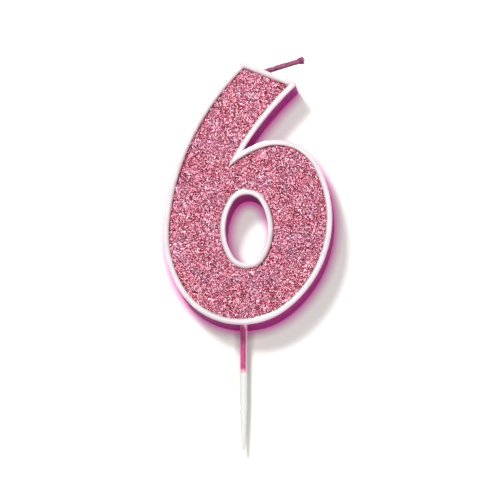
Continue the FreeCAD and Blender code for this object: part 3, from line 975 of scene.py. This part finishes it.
TABLE_SIZE, TABLE_GAP = 1.2, 0.05 * MM
TABLE_WHITE = (0.915, 0.928, 0.88)
PAINTED_SHADE_GREY, PAINTED_GLOW_PINK = (0.10, 0.09, 0.08), (0.55, 0.08, 0.36)

table_material, nodes, links, shader = new_material("White table")
shader.inputs["Roughness"].default_value = 0.9

# Painted shade: close beside a piece the table is darker, and beside the wax a painted pink glow
# stands in for light coloured by the wax.
occlusion_probe = nodes.new("ShaderNodeAmbientOcclusion")
occlusion_probe.samples = 16
occlusion_probe.inputs["Distance"].default_value = 3 * MM
painted_shade = nodes.new("ShaderNodeMapRange")
painted_shade.inputs["From Min"].default_value = 0.5
painted_shade.inputs["To Min"].default_value = 0.1
links.new(occlusion_probe.outputs["AO"], painted_shade.inputs["Value"])
place = nodes.new("ShaderNodeNewGeometry")
split = nodes.new("ShaderNodeSeparateXYZ")
links.new(place.outputs["Position"], split.inputs["Vector"])
beside_wax = nodes.new("ShaderNodeMapRange")
beside_wax.inputs["From Min"].default_value = -2 * MM
beside_wax.inputs["From Max"].default_value = 0.5 * MM
links.new(split.outputs["Z"], beside_wax.inputs["Value"])
painted_shade_colour = nodes.new("ShaderNodeMix")
painted_shade_colour.data_type = "RGBA"
painted_shade_colour.inputs["A"].default_value = (*PAINTED_SHADE_GREY, 1)
painted_shade_colour.inputs["B"].default_value = (*PAINTED_GLOW_PINK, 1)
links.new(beside_wax.outputs["Result"], painted_shade_colour.inputs["Factor"])
paint = nodes.new("ShaderNodeMix")
paint.data_type = "RGBA"
paint.inputs["B"].default_value = (*TABLE_WHITE, 1)
links.new(painted_shade.outputs["Result"], paint.inputs["Factor"])
links.new(painted_shade_colour.outputs["Result"], paint.inputs["A"])
links.new(paint.outputs["Result"], shader.inputs["Base Color"])
shader.inputs["Specular IOR Level"].default_value = 0.1

# From behind, the table lets everything through.
clear = nodes.new("ShaderNodeBsdfTransparent")
one_way = nodes.new("ShaderNodeMixShader")
links.new(place.outputs["Backfacing"], one_way.inputs["Fac"])
links.new(shader.outputs["BSDF"], one_way.inputs[1])
links.new(clear.outputs["BSDF"], one_way.inputs[2])
links.new(one_way.outputs["Shader"], nodes["Material Output"].inputs["Surface"])
bpy.ops.mesh.primitive_plane_add(size=TABLE_SIZE)
table = bpy.context.object
table.location = (0, back_depth + TABLE_GAP, 0.02)
table.rotation_euler = (math.pi / 2, 0, 0)
table.name = "table"
table.data.materials.append(table_material)

world = bpy.data.worlds.new("Pale room")
world.use_nodes = True
world.node_tree.nodes["Background"].inputs["Color"].default_value = (1, 0.98, 0.955, 1)
world.node_tree.nodes["Background"].inputs["Strength"].default_value = 0.17
bpy.context.scene.world = world
bpy.context.scene.view_settings.view_transform = "Standard"


def lamp(name, place, size, power, target=(0, 0, 0.03)):
    """A square soft lamp aimed at a point."""
    light = bpy.data.lights.new(name, "AREA")
    light.size, light.energy = size, power
    made = bpy.data.objects.new(name, light)
    made.location = place
    made.rotation_euler = (Vector(target) - Vector(place)).to_track_quat("-Z", "Y").to_euler()
    made.visible_camera = False
    bpy.context.scene.collection.objects.link(made)


lamp("soft_lamp", (-0.22, -0.61, 0.348), 0.175, 5.1)


def pale_wall(name, way, power):
    """Even light from a wall of the room, too wide and soft to cast a shadow of its own."""
    light = bpy.data.lights.new(name, "SUN")
    light.energy, light.use_shadow = power, False
    made = bpy.data.objects.new(name, light)
    made.rotation_euler = Vector(way).to_track_quat("-Z", "Y").to_euler()
    bpy.context.scene.collection.objects.link(made)


pale_wall("lower_right_wall", (-0.46, 1, 0.40), 1.95)
pale_wall("far_wall", (0.15, -1, -0.45), 2.8)

CAMERA_DISTANCE = 2.1715
camera = bpy.data.objects.new("camera", bpy.data.cameras.new("camera"))
bpy.context.scene.collection.objects.link(camera)
bpy.context.scene.camera = camera
camera.data.lens, camera.data.sensor_width = 600, 36
aim = Vector((1.905 * MM, -3.5 * MM, 20.65 * MM))
side, below = math.radians(4.5), math.radians(11.5)
away = Vector((math.sin(side) * math.cos(below), -math.cos(side) * math.cos(below), -math.sin(below)))
camera.location = aim + away * CAMERA_DISTANCE
camera.rotation_euler = (-away).to_track_quat("-Z", "Y").to_euler()
